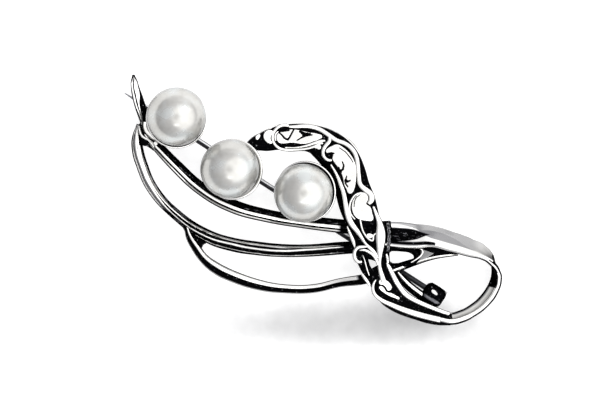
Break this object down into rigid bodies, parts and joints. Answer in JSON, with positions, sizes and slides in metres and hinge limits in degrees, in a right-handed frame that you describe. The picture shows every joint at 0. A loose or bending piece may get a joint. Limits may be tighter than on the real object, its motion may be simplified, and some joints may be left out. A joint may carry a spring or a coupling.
{
  "type": "pearl brooch",
  "caption": "Silver spray brooch with an openwork leaf, a scroll strap and a twisted ribbon bow, pearls in dished cups, and a hinged pin stem on its back.",
  "frame": {"origin": "centre of the brooch's box in X and Y, on the surface that it lies on", "axes": "+X right and +Y up across the face as it is seen, with the blade's tip at the upper left and the bow at the lower right; +Z out of the face"},
  "size_m": [0.0515, 0.0342, 0.0112],
  "materials": {
    "silver": "polished",
    "pearl": "gloss",
    "pin_steel": "satin"
  },
  "bodies": {
    "brooch": {"silver_frame": "silver", "pearl_1": "pearl", "pearl_2": "pearl", "pearl_3": "pearl", "hinge_rivet": "pin_steel"},
    "pin": {"pin_stem": "pin_steel"}
  },
  "joints": [
    {"name": "pin_hinge", "type": "hinge", "parent": "brooch", "child": "pin", "pos_m": [0.0166, -0.01275, 0.00135], "axis": [-0.543, -0.8398, 0], "range_deg": [0, 95]}
  ]
}
